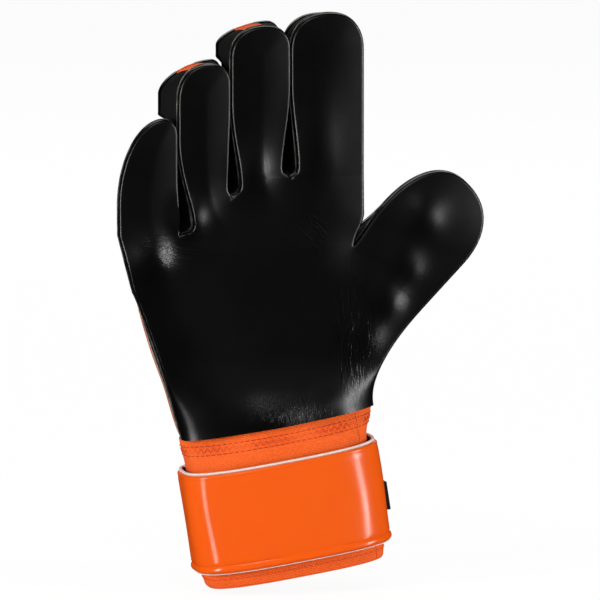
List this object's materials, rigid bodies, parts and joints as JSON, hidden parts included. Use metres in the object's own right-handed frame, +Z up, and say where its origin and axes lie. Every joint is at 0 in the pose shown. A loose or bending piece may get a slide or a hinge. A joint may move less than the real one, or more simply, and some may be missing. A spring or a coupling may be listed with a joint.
{
  "type": "goalkeeper glove",
  "caption": "Right-hand goalkeeper glove: flat-cut latex palm, gusseted finger stalls that curl, mesh wrist cuff and a wrap-round strap that peels open.",
  "frame": {"origin": "middle of the wrist's mouth, where the hand goes in", "axes": "+Z up along the fingers, palm faces -Y, thumb on the +X side"},
  "size_m": [0.1787, 0.0538, 0.2768],
  "materials": {
    "black_latex": "smooth semi-gloss latex foam",
    "orange_latex": "smooth satin latex",
    "orange_mesh": "knitted air mesh",
    "gusset_fabric": "matt knitted fabric",
    "lining": "soft brushed lining",
    "white_foam": "open foam edge",
    "loop_pile": "loop pile",
    "hook_tape": "hook tape",
    "webbing": "woven webbing"
  },
  "bodies": {
    "hand": {"palm_foam": "black_latex", "palm_lining": "lining", "backhand_foam": "orange_latex", "backhand_lining": "lining", "little_side_gusset": "gusset_fabric", "thumb_heel_gusset": "gusset_fabric", "thumb_web": "gusset_fabric", "ring_root_gusset": "gusset_fabric", "middle_root_gusset": "gusset_fabric", "cuff_front": "orange_mesh", "cuff_side_insert": "orange_mesh", "cuff_back": "orange_mesh", "loop_patch": "loop_pile", "strap_skin": "orange_latex", "strap_foam": "white_foam"},
    "little": {"little_palm_foam": "black_latex", "little_back_mesh": "orange_mesh", "little_gusset": "gusset_fabric", "little_left_pad": "black_latex", "little_right_pad": "black_latex"},
    "ring": {"ring_palm_foam": "black_latex", "ring_back_mesh": "orange_mesh", "ring_gusset": "gusset_fabric", "ring_left_pad": "black_latex", "ring_right_pad": "black_latex"},
    "middle": {"middle_palm_foam": "black_latex", "middle_back_mesh": "orange_mesh", "middle_gusset": "gusset_fabric", "middle_left_pad": "black_latex", "middle_right_pad": "black_latex"},
    "index": {"index_palm_foam": "black_latex", "index_back_mesh": "orange_mesh", "index_gusset": "gusset_fabric", "index_left_pad": "black_latex", "index_right_pad": "black_latex"},
    "thumb": {"thumb_palm_foam": "black_latex", "thumb_back_mesh": "orange_mesh", "thumb_gusset": "gusset_fabric", "thumb_left_pad": "black_latex", "thumb_right_pad": "black_latex"},
    "strap_flap": {"flap_skin": "orange_latex", "flap_foam": "white_foam", "hook_patch": "hook_tape", "pull_tab": "webbing"}
  },
  "joints": [
    {"name": "little_curl", "type": "hinge", "parent": "hand", "child": "little", "pos_m": [-0.0885, -0.01544, 0.166], "axis": [1, 0, 0], "range_deg": [0, 75], "stiffness_Nm_per_rad": 0.03},
    {"name": "ring_curl", "type": "hinge", "parent": "hand", "child": "ring", "pos_m": [-0.0547, -0.01464, 0.184], "axis": [1, 0, 0], "range_deg": [0, 75], "stiffness_Nm_per_rad": 0.03},
    {"name": "middle_curl", "type": "hinge", "parent": "hand", "child": "middle", "pos_m": [-0.0291, -0.0143, 0.192], "axis": [1, 0, 0], "range_deg": [0, 75], "stiffness_Nm_per_rad": 0.03},
    {"name": "index_curl", "type": "hinge", "parent": "hand", "child": "index", "pos_m": [-0.00333, -0.0143, 0.192], "axis": [1, 0, 0], "range_deg": [0, 75], "stiffness_Nm_per_rad": 0.03},
    {"name": "thumb_curl", "type": "hinge", "parent": "hand", "child": "thumb", "pos_m": [0.0264, -0.0158, 0.158], "axis": [0.7218, 0, -0.6921], "range_deg": [0, 60], "stiffness_Nm_per_rad": 0.03},
    {"name": "strap_open", "type": "hinge", "parent": "hand", "child": "strap_flap", "pos_m": [-0.0509, 0.01449, 0.02754], "axis": [-0.153, 0, 0.9882], "range_deg": [0, 150]}
  ]
}
